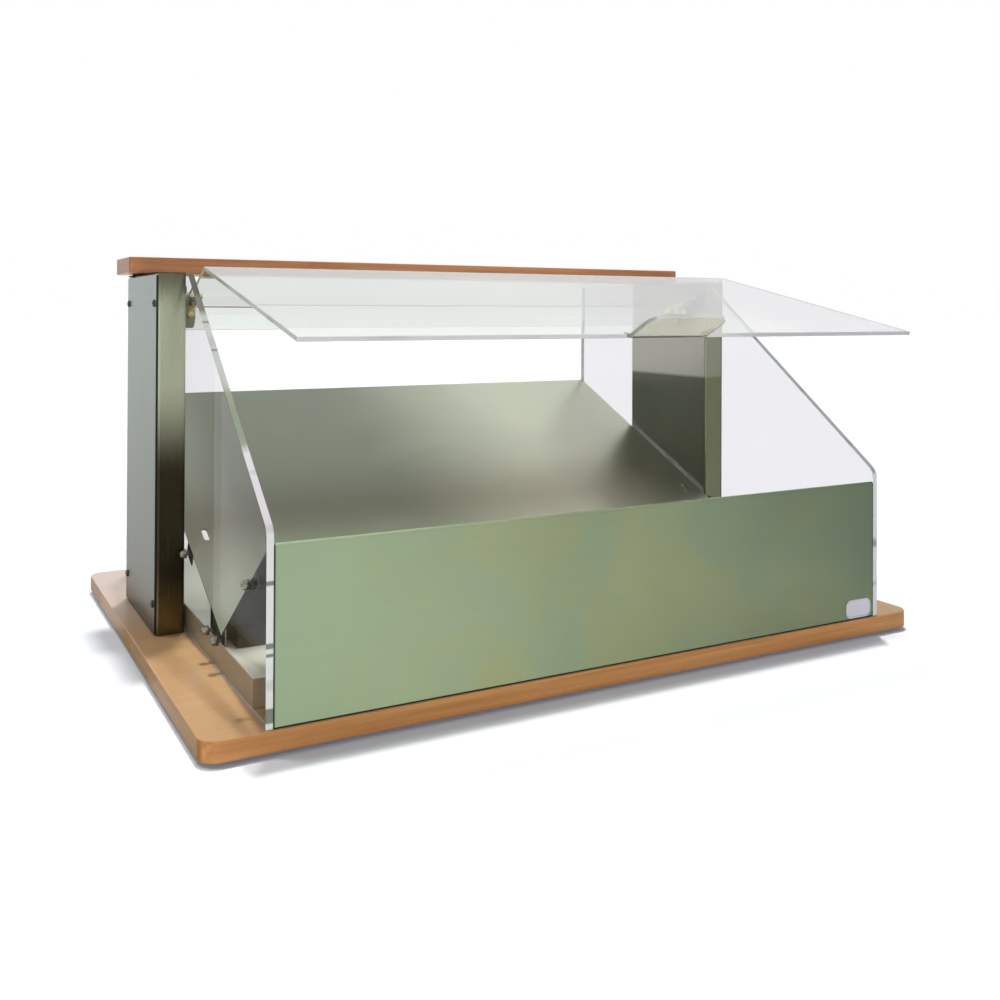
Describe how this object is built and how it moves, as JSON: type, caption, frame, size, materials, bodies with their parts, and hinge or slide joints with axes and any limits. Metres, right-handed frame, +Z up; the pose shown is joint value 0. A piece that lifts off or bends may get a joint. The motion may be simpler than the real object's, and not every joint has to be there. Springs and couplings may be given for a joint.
{
  "type": "countertop bread display bin",
  "caption": "Counter bread bin: folded steel trough between clear side panels and posts on a wooden base, with a clear tilting lid and a wooden top board.",
  "frame": {"origin": "middle of the base board's footprint, on the surface that the feet stand on", "axes": "+X to the customer's right, +Y from the customer to the server, +Z up"},
  "size_m": [0.767, 0.6693, 0.403],
  "materials": {
    "board_wood": "satin lacquer",
    "foot_rubber": "matte",
    "clear_acrylic": "clear polished",
    "trough_steel": "fine brushed",
    "tray_steel": "bright brushed",
    "post_steel": "fine brushed",
    "cover_steel": "fine brushed",
    "knuckle_brass": "satin",
    "nylon": "plain",
    "fastener_steel": "polished stainless",
    "badge_metal": "satin"
  },
  "bodies": {
    "cabinet": {"badge_plate": "badge_metal", "base_board": "board_wood", "bread_trough": "trough_steel", "clinch_nuts_left": "fastener_steel", "clinch_nuts_right": "fastener_steel", "cover_screws_left": "fastener_steel", "cover_screws_right": "fastener_steel", "cradle_nuts": "fastener_steel", "cradle_screws": "fastener_steel", "feet": "foot_rubber", "floor_tray": "tray_steel", "foot_screws": "fastener_steel", "panel_nuts_left": "fastener_steel", "panel_nuts_right": "fastener_steel", "panel_screws_left": "fastener_steel", "panel_screws_right": "fastener_steel", "pivot_bolt_left": "fastener_steel", "pivot_bolt_right": "fastener_steel", "pivot_nut_left": "fastener_steel", "pivot_nut_right": "fastener_steel", "pivot_washer_left": "nylon", "pivot_washer_right": "nylon", "post_bolts": "fastener_steel", "post_cap_left": "post_steel", "post_cap_right": "post_steel", "post_cover_left": "cover_steel", "post_cover_right": "cover_steel", "post_left": "post_steel", "post_nuts": "fastener_steel", "post_right": "post_steel", "side_panel_left": "clear_acrylic", "side_panel_right": "clear_acrylic", "top_board": "board_wood", "top_board_screws": "fastener_steel", "tray_bolts": "fastener_steel", "tray_nuts": "fastener_steel", "trough_cradle": "trough_steel", "trough_screws_left": "fastener_steel", "trough_screws_right": "fastener_steel", "trough_washers_left": "nylon", "trough_washers_right": "nylon"},
    "lid": {"hinge_knuckle_left": "knuckle_brass", "hinge_knuckle_right": "knuckle_brass", "lid": "clear_acrylic", "lid_nuts": "fastener_steel", "lid_screws": "fastener_steel"}
  },
  "joints": [
    {"name": "lid_hinge", "type": "hinge", "parent": "cabinet", "child": "lid", "pos_m": [0, 0.0419, 0.341], "axis": [-1, 0, 0], "range_deg": [-24.7, 105]}
  ]
}
